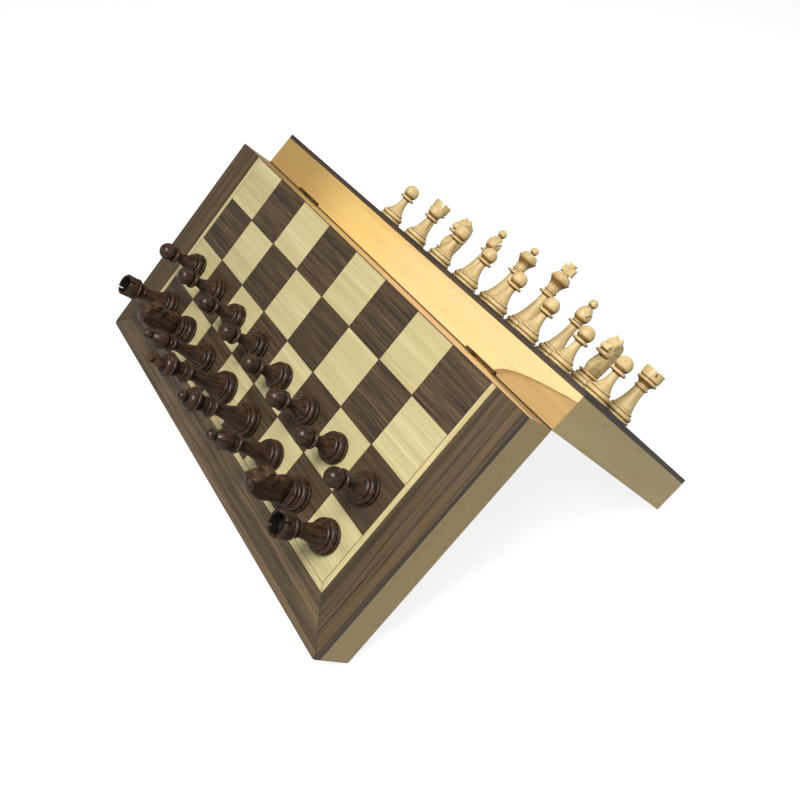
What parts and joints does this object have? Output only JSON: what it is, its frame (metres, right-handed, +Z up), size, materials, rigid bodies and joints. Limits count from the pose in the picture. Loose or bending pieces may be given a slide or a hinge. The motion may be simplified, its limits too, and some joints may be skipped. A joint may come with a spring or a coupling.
{
  "type": "chess set with board",
  "caption": "Folding magnetic wooden chess board in two hinged half cases, standing as a tent, with a full set of turned pieces.",
  "frame": {"origin": "middle of the set's footprint, on the surface that it stands on", "axes": "+Y along the hinge pins, +X towards the light pieces' half, +Z up"},
  "size_m": [0.3382, 0.381, 0.1585],
  "materials": {
    "pine": "satin",
    "stained_ply": "satin",
    "steel": "bare",
    "walnut": "satin",
    "dark_walnut": "satin",
    "maple": "satin",
    "felt": "felted",
    "magnet": "plated",
    "brass": "satin",
    "dark_piece_wood": "gloss lacquer",
    "light_piece_wood": "satin"
  },
  "bodies": {
    "dark_side": {"dark_side_spine_wall": "pine", "dark_side_outer_wall": "pine", "dark_side_end_walls": "pine", "dark_side_deck": "stained_ply", "dark_side_steel_sheet": "steel", "dark_side_border": "walnut", "dark_side_stringing": "maple", "dark_side_walnut_squares": "dark_walnut", "dark_side_maple_squares": "maple", "dark_side_tray_insert": "felt", "dark_side_closing_magnets": "magnet", "dark_side_hinge_leaves": "brass", "dark_side_hinge_screws": "brass", "hinge_pins": "brass"},
    "light_side": {"light_side_spine_wall": "pine", "light_side_outer_wall": "pine", "light_side_end_walls": "pine", "light_side_deck": "stained_ply", "light_side_steel_sheet": "steel", "light_side_border": "walnut", "light_side_stringing": "maple", "light_side_walnut_squares": "dark_walnut", "light_side_maple_squares": "maple", "light_side_tray_insert": "felt", "light_side_closing_magnets": "magnet", "light_side_hinge_leaves": "brass", "light_side_hinge_screws": "brass"},
    "dark_kings_rook": {"dark_kings_rook": "dark_piece_wood"},
    "dark_kings_knight": {"dark_kings_knight": "dark_piece_wood"},
    "dark_kings_bishop": {"dark_kings_bishop": "dark_piece_wood"},
    "dark_king": {"dark_king": "dark_piece_wood"},
    "dark_queen": {"dark_queen": "dark_piece_wood"},
    "dark_queens_bishop": {"dark_queens_bishop": "dark_piece_wood"},
    "dark_queens_knight": {"dark_queens_knight": "dark_piece_wood"},
    "dark_queens_rook": {"dark_queens_rook": "dark_piece_wood"},
    "dark_pawn_1": {"dark_pawn_1": "dark_piece_wood"},
    "dark_pawn_2": {"dark_pawn_2": "dark_piece_wood"},
    "dark_pawn_3": {"dark_pawn_3": "dark_piece_wood"},
    "dark_pawn_4": {"dark_pawn_4": "dark_piece_wood"},
    "dark_pawn_5": {"dark_pawn_5": "dark_piece_wood"},
    "dark_pawn_6": {"dark_pawn_6": "dark_piece_wood"},
    "dark_pawn_7": {"dark_pawn_7": "dark_piece_wood"},
    "dark_pawn_8": {"dark_pawn_8": "dark_piece_wood"},
    "light_kings_rook": {"light_kings_rook": "light_piece_wood"},
    "light_kings_knight": {"light_kings_knight": "light_piece_wood"},
    "light_kings_bishop": {"light_kings_bishop": "light_piece_wood"},
    "light_king": {"light_king": "light_piece_wood"},
    "light_queen": {"light_queen": "light_piece_wood"},
    "light_queens_bishop": {"light_queens_bishop": "light_piece_wood"},
    "light_queens_knight": {"light_queens_knight": "light_piece_wood"},
    "light_queens_rook": {"light_queens_rook": "light_piece_wood"},
    "light_pawn_1": {"light_pawn_1": "light_piece_wood"},
    "light_pawn_2": {"light_pawn_2": "light_piece_wood"},
    "light_pawn_3": {"light_pawn_3": "light_piece_wood"},
    "light_pawn_4": {"light_pawn_4": "light_piece_wood"},
    "light_pawn_5": {"light_pawn_5": "light_piece_wood"},
    "light_pawn_6": {"light_pawn_6": "light_piece_wood"},
    "light_pawn_7": {"light_pawn_7": "light_piece_wood"},
    "light_pawn_8": {"light_pawn_8": "light_piece_wood"}
  },
  "joints": [
    {"name": "board_fold", "type": "hinge", "parent": "dark_side", "child": "light_side", "pos_m": [0, 0, 0.13819], "axis": [0, 1, 0], "range_deg": [-93, 87]},
    {"name": "dark_kings_rook_lift", "type": "slide", "parent": "dark_side", "child": "dark_kings_rook", "axis": [-0.7254, 0, 0.6884], "range_m": [0, 0.06]},
    {"name": "dark_kings_knight_lift", "type": "slide", "parent": "dark_side", "child": "dark_kings_knight", "axis": [-0.7254, 0, 0.6884], "range_m": [0, 0.06]},
    {"name": "dark_kings_bishop_lift", "type": "slide", "parent": "dark_side", "child": "dark_kings_bishop", "axis": [-0.7254, 0, 0.6884], "range_m": [0, 0.06]},
    {"name": "dark_king_lift", "type": "slide", "parent": "dark_side", "child": "dark_king", "axis": [-0.7254, 0, 0.6884], "range_m": [0, 0.06]},
    {"name": "dark_queen_lift", "type": "slide", "parent": "dark_side", "child": "dark_queen", "axis": [-0.7254, 0, 0.6884], "range_m": [0, 0.06]},
    {"name": "dark_queens_bishop_lift", "type": "slide", "parent": "dark_side", "child": "dark_queens_bishop", "axis": [-0.7254, 0, 0.6884], "range_m": [0, 0.06]},
    {"name": "dark_queens_knight_lift", "type": "slide", "parent": "dark_side", "child": "dark_queens_knight", "axis": [-0.7254, 0, 0.6884], "range_m": [0, 0.06]},
    {"name": "dark_queens_rook_lift", "type": "slide", "parent": "dark_side", "child": "dark_queens_rook", "axis": [-0.7254, 0, 0.6884], "range_m": [0, 0.06]},
    {"name": "dark_pawn_1_lift", "type": "slide", "parent": "dark_side", "child": "dark_pawn_1", "axis": [-0.7254, 0, 0.6884], "range_m": [0, 0.06]},
    {"name": "dark_pawn_2_lift", "type": "slide", "parent": "dark_side", "child": "dark_pawn_2", "axis": [-0.7254, 0, 0.6884], "range_m": [0, 0.06]},
    {"name": "dark_pawn_3_lift", "type": "slide", "parent": "dark_side", "child": "dark_pawn_3", "axis": [-0.7254, 0, 0.6884], "range_m": [0, 0.06]},
    {"name": "dark_pawn_4_lift", "type": "slide", "parent": "dark_side", "child": "dark_pawn_4", "axis": [-0.7254, 0, 0.6884], "range_m": [0, 0.06]},
    {"name": "dark_pawn_5_lift", "type": "slide", "parent": "dark_side", "child": "dark_pawn_5", "axis": [-0.7254, 0, 0.6884], "range_m": [0, 0.06]},
    {"name": "dark_pawn_6_lift", "type": "slide", "parent": "dark_side", "child": "dark_pawn_6", "axis": [-0.7254, 0, 0.6884], "range_m": [0, 0.06]},
    {"name": "dark_pawn_7_lift", "type": "slide", "parent": "dark_side", "child": "dark_pawn_7", "axis": [-0.7254, 0, 0.6884], "range_m": [0, 0.06]},
    {"name": "dark_pawn_8_lift", "type": "slide", "parent": "dark_side", "child": "dark_pawn_8", "axis": [-0.7254, 0, 0.6884], "range_m": [0, 0.06]},
    {"name": "light_kings_rook_lift", "type": "slide", "parent": "light_side", "child": "light_kings_rook", "axis": [0.7254, 0, 0.6884], "range_m": [0, 0.06]},
    {"name": "light_kings_knight_lift", "type": "slide", "parent": "light_side", "child": "light_kings_knight", "axis": [0.7254, 0, 0.6884], "range_m": [0, 0.06]},
    {"name": "light_kings_bishop_lift", "type": "slide", "parent": "light_side", "child": "light_kings_bishop", "axis": [0.7254, 0, 0.6884], "range_m": [0, 0.06]},
    {"name": "light_king_lift", "type": "slide", "parent": "light_side", "child": "light_king", "axis": [0.7254, 0, 0.6884], "range_m": [0, 0.06]},
    {"name": "light_queen_lift", "type": "slide", "parent": "light_side", "child": "light_queen", "axis": [0.7254, 0, 0.6884], "range_m": [0, 0.06]},
    {"name": "light_queens_bishop_lift", "type": "slide", "parent": "light_side", "child": "light_queens_bishop", "axis": [0.7254, 0, 0.6884], "range_m": [0, 0.06]},
    {"name": "light_queens_knight_lift", "type": "slide", "parent": "light_side", "child": "light_queens_knight", "axis": [0.7254, 0, 0.6884], "range_m": [0, 0.06]},
    {"name": "light_queens_rook_lift", "type": "slide", "parent": "light_side", "child": "light_queens_rook", "axis": [0.7254, 0, 0.6884], "range_m": [0, 0.06]},
    {"name": "light_pawn_1_lift", "type": "slide", "parent": "light_side", "child": "light_pawn_1", "axis": [0.7254, 0, 0.6884], "range_m": [0, 0.06]},
    {"name": "light_pawn_2_lift", "type": "slide", "parent": "light_side", "child": "light_pawn_2", "axis": [0.7254, 0, 0.6884], "range_m": [0, 0.06]},
    {"name": "light_pawn_3_lift", "type": "slide", "parent": "light_side", "child": "light_pawn_3", "axis": [0.7254, 0, 0.6884], "range_m": [0, 0.06]},
    {"name": "light_pawn_4_lift", "type": "slide", "parent": "light_side", "child": "light_pawn_4", "axis": [0.7254, 0, 0.6884], "range_m": [0, 0.06]},
    {"name": "light_pawn_5_lift", "type": "slide", "parent": "light_side", "child": "light_pawn_5", "axis": [0.7254, 0, 0.6884], "range_m": [0, 0.06]},
    {"name": "light_pawn_6_lift", "type": "slide", "parent": "light_side", "child": "light_pawn_6", "axis": [0.7254, 0, 0.6884], "range_m": [0, 0.06]},
    {"name": "light_pawn_7_lift", "type": "slide", "parent": "light_side", "child": "light_pawn_7", "axis": [0.7254, 0, 0.6884], "range_m": [0, 0.06]},
    {"name": "light_pawn_8_lift", "type": "slide", "parent": "light_side", "child": "light_pawn_8", "axis": [0.7254, 0, 0.6884], "range_m": [0, 0.06]}
  ]
}
